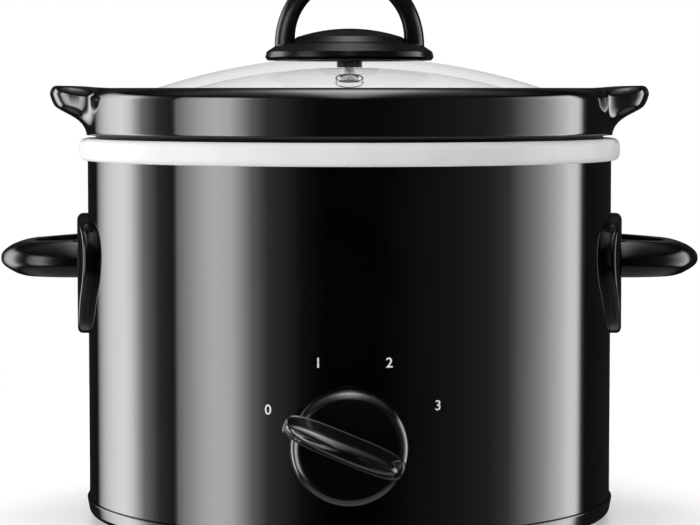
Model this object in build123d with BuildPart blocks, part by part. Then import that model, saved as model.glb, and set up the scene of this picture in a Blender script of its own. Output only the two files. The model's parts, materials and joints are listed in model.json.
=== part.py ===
from build123d import *
from math import cos, hypot, radians, sin, sqrt, tan
import os

# A small round slow cooker: a stoneware crock with a glass lid, hung in a heated base with a rotary switch.
# +Z is up, the front with the knob faces -Y, and the origin is on the cooker's axis at the table top.

# Driving dimensions of the base, in millimetres
body_radius = 98.3
shell_wall = 1.0
shell_bottom = 6.5
shell_top = 138.0
tray_bottom = 3.5
tray_floor = 2.4
lip_radius = 99.3
lip_top = 10.0
collar_radius = 101.6
collar_bottom = 136.1
collar_top = 144.2
liner_radius = 88.0
liner_wall = 1.2
liner_bottom = 49.5
liner_corner = 16.0
flange_seat = 140.6
flange_radius = 94.2

# Driving dimensions of the crock and the lid
band_radius = 98.7
band_bottom = 146.0
crock_top = 163.2
crock_bottom = 53.2
crock_floor = 59.0
well_top_radius = 85.2
well_bottom_radius = 81.0
bowl_top_radius = 79.4
bowl_bottom_radius = 75.4
ledge_height = 153.6
mouth_radius = 90.4
ear_root = 98.2
ear_tip = 112.4
ear_end = 107.6
ear_half_width = 29.0
ear_end_half_width = 22.5
lid_apex = 174.6
lid_sphere = 229.0
lid_wall = 4.0
lid_edge_radius = 88.6
lid_hole_radius = 5.2
vent_radius = 4.2
vent_offset = 61.7

# Driving dimensions of the lid handle
grip_base_radius = 31.7
grip_base_bottom = 173.2
gasket_top = 175.3
shoulder_height = 179.2
boss_half_width = 19.8
boss_top = 185.2
arch_half_width = 28.1
arch_foot = 178.7
arch_top = 209.4
arch_inner_half_width = 20.6
arch_inner_foot = 181.8
arch_inner_top = 202.3
arch_depth = 15.0
arch_outer_edge = 5.6
arch_inner_edge = 1.4

# Driving dimensions of the side handles
pad_radius = 102.4
pad_top = 115.8
pad_bottom = 70.4
pad_half_width = 34.3
pad_widest = 102.5
pad_edge_radius = 1.5
loop_centre = 101.5
loop_tip = 131.5
loop_top = 106.8
loop_drop = 1.3
loop_bottom = 93.0
loop_thickness = 12.4
loop_edge = 4.5
loop_nose_above = 10.5
loop_nose_below = 13.0

# Driving dimensions of the knob and the switch
knob_height = 40.7
knob_radius = 20.3
knob_rear = 99.9
knob_face = 107.2
knob_edge_radius = 3.8
knob_rest_angle = 157.5
leaf_nose = 36.8
leaf_tail = 32.7
grip_front = 120.0
grip_edge_radius = 2.9
shaft_radius = 3.0
shaft_hole_radius = 5.0
switch_screw_offset = 11.0
switch_screw_radius = 1.5
plate_front = 96.2
plate_wall = 1.0
housing_width = 26.0
housing_height = 20.0
housing_depth = 13.0

# Driving dimensions of fasteners, wiring and feet
handle_screw_heights = (79.0, 109.0)
handle_screw_radius = 1.8
base_screw_radius = 2.0
base_screw_head = 4.2
block_screw_radius = 1.25
block_screw_x = 4.5
terminal_screw_radius = 1.5
foot_ring_radius = 82.0
foot_radius = 8.5
foot_stem_radius = 3.0
wire_radius = 1.1
block_poles = (-9.0, 0.0, 9.0)
block_front = 56.0
block_depth = 16.0
pole_height = 13.0
gland_height = 24.0
gland_neck_radius = 5.4
gland_bore_radius = 3.6
fit = 0.05
slack = 0.2

shell_inner = body_radius - shell_wall
rib_wall = 2.0
floor_top = tray_bottom + tray_floor
block_middle = block_front + block_depth / 2

os.makedirs("parts", exist_ok=True)


def keep(piece, name):
    """Label a finished piece and write it to its own file."""
    piece.part.label = name
    export_step(piece.part, f"parts/{name}.step")


def dome_height(radius, sphere=lid_sphere, apex=lid_apex):
    """Height of a dome's surface at a distance from the cooker's axis."""
    return apex - sphere + sqrt(sphere**2 - radius**2)


# Outer shell: a rolled steel tube, pierced for the switch, the handle screws and the cord gland
with BuildPart() as outer_shell:
    with BuildSketch(Plane.XY.offset(shell_bottom)):
        Circle(body_radius)
        Circle(shell_inner, mode=Mode.SUBTRACT)
    extrude(amount=shell_top - shell_bottom)
    with BuildSketch(Plane.XZ):
        with Locations((0, knob_height)):
            Circle(shaft_hole_radius)
            with GridLocations(0, 2 * switch_screw_offset, 1, 2):
                Circle(switch_screw_radius + slack)
    extrude(amount=2 * body_radius, mode=Mode.SUBTRACT)
    with BuildSketch(Plane.XZ):
        with Locations((0, gland_height)):
            Circle(gland_neck_radius + fit)
    extrude(amount=-2 * body_radius, mode=Mode.SUBTRACT)
    with BuildSketch(Plane.YZ):
        with Locations(*[(0, height) for height in handle_screw_heights]):
            Circle(handle_screw_radius + 2 * slack)
    extrude(amount=2 * body_radius, both=True, mode=Mode.SUBTRACT)
keep(outer_shell, "outer_shell")

# Base tray: the moulded floor with a channel for the shell, vent slots, foot sockets and a centre pillar
pillar_radius = 7.0
pillar_top = 39.0
head_recess = 3.2
with BuildPart() as base_tray:
    with BuildSketch(Plane.XZ):
        with BuildLine():
            FilletPolyline(
                (0, tray_bottom),
                (lip_radius - 1.2, tray_bottom),
                (lip_radius, lip_top),
                (body_radius + slack, lip_top),
                (body_radius + slack, shell_bottom - 2 * fit),
                (shell_inner - slack, shell_bottom - 2 * fit),
                (shell_inner - slack, lip_top + 5),
                (shell_inner - slack - rib_wall, lip_top + 5),
                (shell_inner - slack - rib_wall, floor_top),
                (pillar_radius, floor_top),
                (pillar_radius, pillar_top),
                (0, pillar_top),
                radius=(2.6, 0.5, 0, 0, 0, 0, 0, 0.8, 0.8, 0),
            )
            Line((0, pillar_top), (0, tray_bottom))
        make_face()
    revolve(axis=Axis.Z)
    with Locations(Plane((0, 0, tray_bottom), z_dir=(0, 0, -1))):
        CounterBoreHole(base_screw_radius + slack, base_screw_head + 2 * slack, head_recess)
    with BuildSketch(Plane.XY.offset(tray_bottom)):
        with PolarLocations(38, 12):
            SlotOverall(22, 3.2)
        with PolarLocations(foot_ring_radius, 4, start_angle=45):
            Circle(foot_stem_radius)
        with Locations((0, block_middle)):
            with GridLocations(2 * block_screw_x, 0, 2, 1):
                Circle(block_screw_radius)
    extrude(amount=tray_floor, mode=Mode.SUBTRACT)
keep(base_tray, "base_tray")

# Feet: rubber buttons pushed through the floor, each with a barbed stem
foot_names = ("foot_rear_right", "foot_rear_left", "foot_front_left", "foot_front_right")
for index, foot_name in enumerate(foot_names):
    angle = radians(45 + 90 * index)
    foot_centre = (foot_ring_radius * cos(angle), foot_ring_radius * sin(angle), 0)
    with BuildPart() as foot:
        with BuildSketch(Plane(foot_centre, x_dir=(1, 0, 0), z_dir=(0, -1, 0))):
            with BuildLine():
                FilletPolyline(
                    (0, 0),
                    (foot_radius - 1.2, 0),
                    (foot_radius, tray_bottom),
                    (foot_stem_radius - fit, tray_bottom),
                    (foot_stem_radius - fit, floor_top + fit),
                    (foot_stem_radius + 1, floor_top + fit),
                    (2.2, floor_top + 3),
                    (0, floor_top + 3),
                    radius=(1.0, 0, 0, 0, 0, 0),
                )
                Line((0, floor_top + 3), (0, 0))
            make_face()
        revolve(axis=Axis(foot_centre, (0, 0, 1)))
    keep(foot, foot_name)

# Collar ring: the white moulding that caps the shell, carries the liner's flange and seats the crock
with BuildPart() as collar_ring:
    with BuildSketch(Plane.XZ):
        with BuildLine():
            FilletPolyline(
                (body_radius + slack, collar_bottom),
                (collar_radius - 0.4, collar_bottom),
                (collar_radius, collar_bottom + 4),
                (collar_radius - 0.5, collar_top),
                (flange_radius + 0.4, collar_top),
                (flange_radius + 0.4, flange_seat),
                (liner_radius + 1.6, flange_seat),
                (liner_radius + 1.6, shell_top + 2 * slack),
                (shell_inner - slack - rib_wall, shell_top + 2 * slack),
                (shell_inner - slack - rib_wall, collar_bottom - 1),
                (shell_inner - slack, collar_bottom - 1),
                (shell_inner - slack, shell_top + 2 * fit),
                (body_radius + slack, shell_top + 2 * fit),
                (body_radius + slack, collar_bottom),
                radius=(0, 2.2, 12, 2.4, 0.6, 0, 0, 0, 0, 0, 0, 0, 0),
                close=True,
            )
        make_face()
    revolve(axis=Axis.Z)
keep(collar_ring, "collar_ring")

# Heating liner: a drawn metal pan whose flange lies on the collar's ledge
with BuildPart() as heating_liner:
    with BuildSketch(Plane.XZ):
        with BuildLine():
            FilletPolyline(
                (0, liner_bottom),
                (liner_radius, liner_bottom),
                (liner_radius, flange_seat),
                (flange_radius, flange_seat),
                radius=(liner_corner, 1.0),
            )
            offset(amount=liner_wall, side=Side.LEFT)
        make_face()
    revolve(axis=Axis.Z)
keep(heating_liner, "heating_liner")

# Heater band: a split ring clamped round the liner, with bolted lugs at its gap and three lead tabs
band_wall = 2.0
heater_bottom = 66.0
heater_height = 46.0
heater_inner = liner_radius + fit
lead_tab_angles = (50.0, -35.0, 215.0)
tab_bottom = 58.0
lug_x = 7.0
lug_y = 93.6
bolt_height = heater_bottom + heater_height / 2
with BuildPart() as heater_band:
    with BuildSketch(Plane.XY.offset(heater_bottom)):
        Circle(heater_inner + band_wall)
        Circle(heater_inner, mode=Mode.SUBTRACT)
        with Locations((0, heater_inner)):
            Rectangle(2 * lug_x - 1.2, 12, mode=Mode.SUBTRACT)
    extrude(amount=heater_height)
    with BuildSketch(Plane.XZ.offset(-heater_inner - 0.6)):
        with Locations((-lug_x, bolt_height), (lug_x, bolt_height)):
            Rectangle(1.4, 16)
    extrude(amount=-8.0)
    with BuildSketch(Plane.YZ):
        with Locations((lug_y, bolt_height)):
            Circle(1.75 + fit)
    extrude(amount=2 * lug_x, both=True, mode=Mode.SUBTRACT)
    for tab_angle in lead_tab_angles:
        tab_plane = Plane.XY.offset(tab_bottom).rotated((0, 0, tab_angle))
        with BuildSketch(tab_plane):
            with Locations((heater_inner + 1.0, 0)):
                Rectangle(1.0, 6.3)
        extrude(amount=heater_bottom - tab_bottom + 1)
keep(heater_band, "heater_band")

# Band bolt and nut: they draw the two lugs of the heater band together
with BuildPart() as band_bolt:
    with BuildSketch(Plane.YZ.offset(-lug_x - 0.7)):
        with Locations((lug_y, bolt_height)):
            Circle(1.75)
    extrude(amount=2 * lug_x + 5)
    with BuildSketch(Plane.YZ.offset(-lug_x - 0.7)):
        with Locations((lug_y, bolt_height)):
            Circle(2.8)
    extrude(amount=-2.2)
keep(band_bolt, "band_bolt")

with BuildPart() as band_nut:
    with BuildSketch(Plane.YZ.offset(lug_x + 0.7)):
        with Locations((lug_y, bolt_height)):
            RegularPolygon(3.1, 6, rotation=30)
            Circle(1.75 + fit, mode=Mode.SUBTRACT)
    extrude(amount=2.8)
keep(band_nut, "band_nut")

# Liner bracket: a hat-section strap welded under the liner, with a threaded hole and an earth blade
bracket_web = 40.0
bracket_width = 20.0
with BuildPart() as liner_bracket:
    with BuildSketch(Plane.XZ.offset(-bracket_width / 2)):
        with BuildLine():
            FilletPolyline(
                (-32, liner_bottom),
                (-20, liner_bottom),
                (-14, bracket_web + 1.2),
                (14, bracket_web + 1.2),
                (20, liner_bottom),
                (32, liner_bottom),
                radius=1.5,
            )
            offset(amount=1.2, side=Side.RIGHT)
        make_face()
    extrude(amount=bracket_width)
    with Locations((0, bracket_width / 2 + 4, bracket_web + 0.6)):
        Box(6.3, 8, 1.2)
    with Locations((0, 0, bracket_web)):
        Cylinder(base_screw_radius, 10, mode=Mode.SUBTRACT)
keep(liner_bracket, "liner_bracket")

# Base screw: one long screw from below clamps tray, shell, collar and liner into a stack
with BuildPart() as base_screw:
    with BuildSketch(Plane.XZ):
        with BuildLine():
            Polyline(
                (0, tray_bottom + 0.6),
                (base_screw_head, tray_bottom + 0.6),
                (base_screw_head, tray_bottom + head_recess),
                (base_screw_radius - fit, tray_bottom + head_recess),
                (base_screw_radius - fit, bracket_web + 5),
                (0, bracket_web + 5),
                close=True,
            )
        make_face()
    revolve(axis=Axis.Z)
    with BuildSketch(Plane.XY.offset(tray_bottom + 0.6)):
        Rectangle(5.0, 1.0)
        Rectangle(1.0, 5.0)
    extrude(amount=1.4, mode=Mode.SUBTRACT)
keep(base_screw, "base_screw")

# Handle loop: a D-shaped bar with a rounded outside, whose flat top falls towards a long, drawn-out nose
loop_outer = loop_tip - loop_centre
loop_inner = loop_outer - loop_thickness
loop_shoulder = loop_outer - loop_edge
loop_belly = (loop_top + loop_bottom) / 2 - 1.2
nose_tip = loop_tip + 2 * slack
with BuildPart() as loop:
    with BuildSketch(Plane.YZ.offset(loop_centre)):
        with BuildLine():
            Polyline(
                (-loop_shoulder, loop_top),
                (-loop_inner, loop_top),
                (-loop_inner, loop_bottom + 0.6),
                (-loop_inner - 0.6, loop_bottom),
                (-loop_shoulder, loop_bottom),
            )
            for bulge, start_angle in ((loop_top - loop_belly, 90), (loop_belly - loop_bottom, 180)):
                EllipticalCenterArc(
                    (-loop_shoulder, loop_belly),
                    loop_edge,
                    bulge,
                    start_angle=start_angle,
                    arc_size=90,
                )
        make_face()
    revolve(axis=Axis((loop_centre, 0, 0), (0, 0, 1)), revolution_arc=180)
    extrude(loop.faces().filter_by(Axis.X).sort_by(Axis.X)[:2], amount=10)
    with BuildSketch(Plane.XZ):
        with BuildLine():
            Polyline(
                (nose_tip - loop_nose_above, loop_top - loop_drop),
                (loop_centre, loop_top),
                (loop_centre - 12, loop_top),
                (loop_centre - 12, loop_bottom),
                (nose_tip - loop_nose_below, loop_bottom),
            )
            EllipticalCenterArc(
                (nose_tip - loop_nose_above, loop_belly),
                loop_nose_above,
                loop_top - loop_drop - loop_belly,
                arc_size=90,
            )
            EllipticalCenterArc(
                (nose_tip - loop_nose_below, loop_belly),
                loop_nose_below,
                loop_belly - loop_bottom,
                start_angle=270,
                arc_size=90,
            )
        make_face()
    extrude(amount=loop_outer + 1, both=True, mode=Mode.INTERSECT)

# Side handles: an egg-shaped shield pad that hugs the shell and carries the loop
with BuildPart() as handle_right:
    with BuildSketch(Plane.YZ.offset(body_radius - 20)):
        with BuildLine():
            Spline(
                (0, pad_top),
                (16, pad_top - 1.6),
                (29.5, pad_top - 5.4),
                (pad_half_width, pad_widest),
                (27.5, pad_bottom + 15.6),
                (15.5, pad_bottom + 3.2),
                (0, pad_bottom),
                tangents=((1, 0), (-1, 0)),
            )
            mirror(about=Plane.YZ)
        make_face()
    extrude(amount=pad_radius)
    with BuildSketch(Plane.XY.offset(pad_bottom - 5)):
        Circle(pad_radius)
        Circle(body_radius + fit, mode=Mode.SUBTRACT)
    extrude(amount=pad_top - pad_bottom + 10, mode=Mode.INTERSECT)
    outer_face = handle_right.faces().filter_by(GeomType.CYLINDER).sort_by(Axis.X)[-1]
    fillet(outer_face.edges(), radius=pad_edge_radius)
    add(loop.part)
    with BuildSketch(Plane.XY.offset(pad_bottom - 5)):
        Circle(body_radius + fit)
    extrude(amount=pad_top - pad_bottom + 10, mode=Mode.SUBTRACT)
    with BuildSketch(Plane.YZ):
        with Locations(*[(0, height) for height in handle_screw_heights]):
            Circle(handle_screw_radius)
    extrude(amount=pad_radius - 1, mode=Mode.SUBTRACT)
keep(handle_right, "handle_right")

with BuildPart() as handle_left:
    mirror(handle_right.part, about=Plane.YZ)
keep(handle_left, "handle_left")

# Handle screws: two from inside the shell into each handle pad
with BuildPart() as handle_screws:
    for side in (-1, 1):
        with BuildSketch(Plane((side * (shell_inner - 0.1), 0, 0), x_dir=(0, 1, 0), z_dir=(side, 0, 0))):
            with Locations(*[(0, height * side) for height in handle_screw_heights]):
                Circle(handle_screw_radius - fit)
        extrude(amount=4.0)
        with BuildSketch(Plane((side * (shell_inner - 0.1), 0, 0), x_dir=(0, 1, 0), z_dir=(side, 0, 0))):
            with Locations(*[(0, height * side) for height in handle_screw_heights]):
                Circle(3.4)
        extrude(amount=-2.2)
keep(handle_screws, "handle_screws")

# Ear of the crock: a ring with an S-curved underside, cut to a tapering lug with a round end
with BuildPart() as ear:
    with BuildSketch(Plane.XZ):
        with BuildLine():
            Polyline(
                (ear_root, band_bottom + slack),
                (ear_root - 2, band_bottom + slack),
                (ear_root - 2, crock_top),
                (ear_tip + 6, crock_top),
                (ear_tip + 6, crock_top - 5.4),
            )
            Spline(
                (ear_tip + 6, crock_top - 5.4),
                (ear_tip - 4.3, crock_top - 9),
                (ear_tip - 8.6, crock_top - 10.7),
                (ear_tip - 11, crock_top - 12.8),
                (ear_root, band_bottom + slack),
                tangents=((-1, -0.15), (-0.5, -1)),
            )
        make_face()
    revolve(axis=Axis.Z)
    with BuildSketch(Plane.XY.offset(band_bottom)) as ear_plan:
        with BuildLine():
            Polyline(
                (ear_end, ear_end_half_width),
                (bowl_top_radius, ear_half_width),
                (bowl_top_radius, -ear_half_width),
                (ear_end, -ear_end_half_width),
            )
            ThreePointArc((ear_end, -ear_end_half_width), (ear_tip, 0), (ear_end, ear_end_half_width))
        make_face()
        fillet(ear_plan.vertices().group_by(Axis.X)[-1], radius=9)
    extrude(amount=crock_top - band_bottom + 1, mode=Mode.INTERSECT)
    fillet(ear.edges().filter_by(GeomType.BSPLINE), radius=3)

# Crock: a stoneware bowl with a stepped mouth for the lid, a deep outer band, a foot groove and two ears
with BuildPart() as crock:
    with BuildSketch(Plane.XZ):
        with BuildLine():
            FilletPolyline(
                (0, crock_bottom),
                (well_bottom_radius, crock_bottom),
                (well_top_radius, collar_top - 3),
                (well_top_radius + 2, collar_top + 4.6),
                (flange_radius + 0.8, collar_top + 4.6),
                (flange_radius + 0.8, collar_top + slack),
                (band_radius - 2.6, collar_top + slack),
                (band_radius - 2.6, band_bottom - 2 * slack),
                (band_radius - slack, band_bottom),
                (band_radius, crock_top),
                (mouth_radius, crock_top),
                (mouth_radius, ledge_height),
                (bowl_top_radius, ledge_height),
                (bowl_bottom_radius, crock_floor),
                (0, crock_floor),
                radius=(14, 3, 1.6, 1.6, 0, 0, 0, 0.6, 0, 2.4, 1.2, 2.6, 15),
            )
            Line((0, crock_floor), (0, crock_bottom))
        make_face()
    revolve(axis=Axis.Z)
    add(ear.part)
    mirror(ear.part, about=Plane.YZ)
    band_edges = [e for e in crock.edges() if abs(hypot(e.center().X, e.center().Y) - band_radius) < 0.3]
    fillet([e for e in band_edges if 8 < e.length < 18], radius=5)
    rim_top = crock.faces().filter_by(Axis.Z).sort_by(Axis.Z)[-1]
    fillet(rim_top.outer_wire().edges(), radius=2.8)
keep(crock, "stoneware_crock")

# Lid glass: a shallow pressed dome with a thick edge, a hole for the handle and a steam vent
inner_sphere = lid_sphere - lid_wall
inner_apex = lid_apex - lid_wall
rim_inner = lid_edge_radius - 4.6
under_rim = rim_inner - 3.0
lid_bottom = ledge_height + 0.3
with BuildPart() as lid_glass:
    with BuildSketch(Plane.XZ):
        with BuildLine():
            ThreePointArc(
                (lid_hole_radius, dome_height(lid_hole_radius)),
                (rim_inner / 2, dome_height(rim_inner / 2)),
                (rim_inner, dome_height(rim_inner)),
            )
            FilletPolyline(
                (rim_inner, dome_height(rim_inner)),
                (lid_edge_radius, dome_height(rim_inner) - 0.8),
                (lid_edge_radius, lid_bottom),
                (rim_inner, lid_bottom),
                (under_rim, dome_height(under_rim, inner_sphere, inner_apex)),
                radius=(1.4, 1.4, 0),
            )
            ThreePointArc(
                (under_rim, dome_height(under_rim, inner_sphere, inner_apex)),
                (rim_inner / 2, dome_height(rim_inner / 2, inner_sphere, inner_apex)),
                (lid_hole_radius, dome_height(lid_hole_radius, inner_sphere, inner_apex)),
            )
            Line(
                (lid_hole_radius, dome_height(lid_hole_radius, inner_sphere, inner_apex)),
                (lid_hole_radius, dome_height(lid_hole_radius)),
            )
        make_face()
    revolve(axis=Axis.Z)
    with Locations((0, -vent_offset, dome_height(vent_offset))):
        Cylinder(vent_radius, 30, mode=Mode.SUBTRACT)
    vent_rims = [edge for edge in lid_glass.edges() if abs(edge.center().Y + vent_offset) < vent_radius]
    fillet(vent_rims, radius=0.9)
keep(lid_glass, "lid_glass")

# Lid gasket: a soft ring between the glass and the handle's base
gasket_radius = 26.6
with BuildPart() as lid_gasket:
    with BuildSketch(Plane.XZ):
        with BuildLine():
            ThreePointArc(
                (lid_hole_radius, dome_height(lid_hole_radius) + fit),
                (15, dome_height(15) + fit),
                (gasket_radius, dome_height(gasket_radius) + fit),
            )
            Polyline(
                (gasket_radius, dome_height(gasket_radius) + fit),
                (gasket_radius, gasket_top),
                (lid_hole_radius, gasket_top),
                (lid_hole_radius, dome_height(lid_hole_radius) + fit),
            )
        make_face()
    revolve(axis=Axis.Z)
keep(lid_gasket, "lid_gasket")

# Lid handle: a turned base with a domed boss and a fixed arch to lift it by
washer_top = lid_apex - lid_wall - fit
boss_rise = 3.2
boss_sphere = (boss_half_width**2 + boss_rise**2) / (2 * boss_rise)
with BuildPart() as lid_handle:
    with BuildSketch(Plane.XZ):
        with BuildLine():
            EllipticalCenterArc((0, arch_foot), arch_half_width, arch_top - arch_foot, arc_size=180)
            Polyline(
                (-arch_half_width, arch_foot),
                (-arch_half_width, gasket_top + 2),
                (arch_half_width, gasket_top + 2),
                (arch_half_width, arch_foot),
            )
        make_face()
        with BuildLine():
            EllipticalCenterArc(
                (0, arch_inner_foot),
                arch_inner_half_width,
                arch_inner_top - arch_inner_foot,
                arc_size=180,
            )
            Polyline(
                (-arch_inner_half_width, arch_inner_foot),
                (-arch_inner_half_width, gasket_top + 4),
                (arch_inner_half_width, gasket_top + 4),
                (arch_inner_half_width, arch_inner_foot),
            )
        make_face(mode=Mode.SUBTRACT)
    extrude(amount=arch_depth / 2, both=True)
    arch_sides = lid_handle.faces().filter_by(Axis.Y)
    outer_rims = [edge for side in arch_sides for edge in side.outer_wire().edges()]
    inner_rims = [edge for side in arch_sides for edge in side.inner_wires()[0].edges()]
    fillet(ShapeList(outer_rims).filter_by(Axis.X, reverse=True), radius=arch_outer_edge)
    fillet(ShapeList(inner_rims).filter_by(Axis.X, reverse=True), radius=arch_inner_edge)
    with BuildSketch(Plane.XZ):
        with BuildLine():
            FilletPolyline(
                (0, gasket_top),
                (gasket_radius + 1, gasket_top),
                (gasket_radius + 2, grip_base_bottom),
                (grip_base_radius - 0.9, grip_base_bottom),
                (grip_base_radius, grip_base_bottom + 1.2),
                (grip_base_radius - 0.5, shoulder_height - 2.7),
                (grip_base_radius - 4.6, shoulder_height),
                (boss_half_width + 2.6, shoulder_height + 0.5),
                (boss_half_width, boss_top - boss_rise),
                radius=(0, 0, 0.5, 0.5, 0.6, 0.6, 1.2),
            )
            ThreePointArc(
                (boss_half_width, boss_top - boss_rise),
                (boss_half_width / 2, dome_height(boss_half_width / 2, boss_sphere, boss_top)),
                (0, boss_top),
            )
            Line((0, boss_top), (0, gasket_top))
        make_face()
    revolve(axis=Axis.Z)
    with Locations((0, 0, washer_top + 0.1)):
        Cylinder(4.8, gasket_top - washer_top + 1, align=(Align.CENTER, Align.CENTER, Align.MIN))
    with Locations((0, 0, washer_top)):
        Cylinder(2.0, 12, align=(Align.CENTER, Align.CENTER, Align.MIN), mode=Mode.SUBTRACT)
keep(lid_handle, "lid_handle")

# Lid washer and screw: they hold the handle from under the glass
washer_wall = 2.6
with BuildPart() as lid_washer:
    with BuildSketch(Plane.XZ):
        with BuildLine():
            FilletPolyline(
                (2.2, washer_top - 0.3),
                (11, washer_top - 0.3),
                (10, washer_top - washer_wall),
                (2.2, washer_top - washer_wall),
                radius=(0, 0.8),
            )
            Line((2.2, washer_top - washer_wall), (2.2, washer_top - 0.3))
        make_face()
    revolve(axis=Axis.Z)
keep(lid_washer, "lid_washer")

with BuildPart() as lid_screw:
    with BuildSketch(Plane.XZ):
        with BuildLine():
            FilletPolyline(
                (0, washer_top - washer_wall - 2.4),
                (4.0, washer_top - washer_wall - 2.4),
                (4.0, washer_top - washer_wall),
                (2.0 - fit, washer_top - washer_wall),
                (2.0 - fit, washer_top + 11),
                (0, washer_top + 11),
                radius=(1.2, 0, 0, 0),
            )
            Line((0, washer_top + 11), (0, washer_top - washer_wall - 2.4))
        make_face()
    revolve(axis=Axis.Z)
    with BuildSketch(Plane.XY.offset(washer_top - washer_wall - 2.4)):
        Rectangle(4.6, 1.0)
        Rectangle(1.0, 4.6)
    extrude(amount=1.3, mode=Mode.SUBTRACT)
keep(lid_screw, "lid_screw")

# Control knob: a round-edged disc, hollow behind, with a leaf-shaped grip that overhangs at its pointing end;
# the leaf's lengths run to its sharp points, which are then rounded off
knob_axis = Axis((0, 0, knob_height), (0, 1, 0))
hub_radius = 5.4
grip_direction = (cos(radians(knob_rest_angle)), 0, sin(radians(knob_rest_angle)))
with BuildPart() as control_knob:
    with BuildSketch(Plane((0, 0, knob_height), x_dir=(0, 1, 0), z_dir=(1, 0, 0))):
        with BuildLine():
            FilletPolyline(
                (-knob_face, 0),
                (-knob_face, knob_radius - 0.3),
                (-knob_rear, knob_radius),
                (-knob_rear, knob_radius - 2),
                (-knob_rear - 4.6, knob_radius - 2.2),
                (-knob_rear - 4.6, hub_radius),
                (-knob_rear - 0.2, hub_radius),
                (-knob_rear - 0.2, 0),
                radius=(knob_edge_radius, 0.4, 0, 0.8, 0.8, 0),
            )
            Line((-knob_rear - 0.2, 0), (-knob_face, 0))
        make_face()
    revolve(axis=knob_axis)
    for depth, nose, tail, half_width, end_radius in (
        (knob_face - 1.2, leaf_nose, leaf_tail, 5.1, 3.6),
        (grip_front, leaf_nose + 2.8, leaf_tail + 1.6, 4.1, 3.3),
    ):
        with BuildSketch(Plane((0, -depth, knob_height), x_dir=grip_direction, z_dir=(0, -1, 0))) as leaf:
            with BuildLine():
                ThreePointArc((-tail, 0), (0, -half_width), (nose, 0))
                ThreePointArc((nose, 0), (0, half_width), (-tail, 0))
            make_face()
            fillet(leaf.vertices(), radius=end_radius)
    loft()
    front_rim = control_knob.faces().sort_by(Axis.Y)[0].edges()
    fillet(front_rim, radius=grip_edge_radius)
    with BuildSketch(Plane.XZ.offset(knob_rear)):
        with Locations((0, knob_height)):
            Circle(shaft_radius + fit)
            with Locations((0, shaft_radius + 1)):
                Rectangle(8, 4, mode=Mode.SUBTRACT)
    extrude(amount=12, mode=Mode.SUBTRACT)
keep(control_knob, "control_knob")

# Knob clip: a spring-steel collar that squeezes the knob's hub on the shaft
with BuildPart() as knob_clip:
    with BuildSketch(Plane.XZ.offset(knob_rear + 0.6)):
        with Locations((0, knob_height)):
            Circle(hub_radius + 0.7)
            Circle(hub_radius + fit, mode=Mode.SUBTRACT)
            with Locations((0, -hub_radius)):
                Rectangle(3, 4, mode=Mode.SUBTRACT)
    extrude(amount=2.6)
keep(knob_clip, "knob_clip")

# Switch rotor: the shaft with its flat and the notched cam that turns inside the switch
housing_front = plate_front - plate_wall
housing_back = housing_front - housing_depth
with BuildPart() as switch_rotor:
    with BuildSketch(Plane.XZ.offset(housing_back + 2)):
        with Locations((0, knob_height)):
            Circle(shaft_radius)
    extrude(amount=knob_rear + 11 - housing_back - 2)
    with BuildSketch(Plane.XZ.offset(knob_rear)):
        with Locations((0, knob_height + shaft_radius + 1)):
            Rectangle(8, 4)
    extrude(amount=12, mode=Mode.SUBTRACT)
    with BuildSketch(Plane.XZ.offset(housing_back + 3)):
        with Locations((0, knob_height)):
            Circle(7.6)
            with PolarLocations(8.2, 8):
                Circle(1.6, mode=Mode.SUBTRACT)
    extrude(amount=6)
keep(switch_rotor, "switch_rotor")

# Switch plate: the steel face of the switch, screwed to the shell behind the knob
with BuildPart() as switch_plate:
    with BuildSketch(Plane.XZ.offset(housing_front)):
        with Locations((0, knob_height)):
            RectangleRounded(housing_width, 29, 3)
            Circle(shaft_radius + fit, mode=Mode.SUBTRACT)
            with GridLocations(0, 2 * switch_screw_offset, 1, 2):
                Circle(switch_screw_radius, mode=Mode.SUBTRACT)
    extrude(amount=plate_wall)
keep(switch_plate, "switch_plate")

# Switch housing: a moulded box, open to the plate, with a chamber for the cam and a bearing at its back
with BuildPart() as switch_housing:
    with BuildSketch(Plane.XZ.offset(housing_back)):
        with Locations((0, knob_height)):
            RectangleRounded(housing_width, housing_height, 2)
    extrude(amount=housing_depth)
    with BuildSketch(Plane.XZ.offset(housing_back + 2.5)):
        with Locations((0, knob_height)):
            Circle(8.6)
    extrude(amount=housing_depth, mode=Mode.SUBTRACT)
    with BuildSketch(Plane.XZ.offset(housing_back + 1.5)):
        with Locations((0, knob_height)):
            Circle(shaft_radius + fit)
    extrude(amount=housing_depth, mode=Mode.SUBTRACT)
    with BuildSketch(Plane.XZ.offset(housing_front)):
        with Locations((0, knob_height)):
            with GridLocations(0, 2 * switch_screw_offset, 1, 2):
                Circle(switch_screw_radius + slack)
    extrude(amount=-5, mode=Mode.SUBTRACT)
keep(switch_housing, "switch_housing")

# Switch screws: two from the front, hidden by the knob
with BuildPart() as switch_screws:
    with BuildSketch(Plane.XZ.offset(plate_front - 4)):
        with Locations((0, knob_height)):
            with GridLocations(0, 2 * switch_screw_offset, 1, 2):
                Circle(switch_screw_radius - fit)
    extrude(amount=body_radius - plate_front + 4.2)
    with BuildSketch(Plane.XZ.offset(body_radius + 0.05)):
        with Locations((0, knob_height)):
            with GridLocations(0, 2 * switch_screw_offset, 1, 2):
                Circle(2.7)
    extrude(amount=1.6)
keep(switch_screws, "switch_screws")

# Switch blades: three flat terminals that stand out of the housing's back
blade_places = ((-8.0, knob_height - 4.0), (8.0, knob_height - 4.0), (0.0, knob_height + 5.0))
blade_end = housing_back - 8
with BuildPart() as switch_blades:
    with BuildSketch(Plane.XZ.offset(blade_end)):
        with Locations(*blade_places):
            Rectangle(6.3, 0.8)
    extrude(amount=housing_back - blade_end)
keep(switch_blades, "switch_blades")

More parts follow.
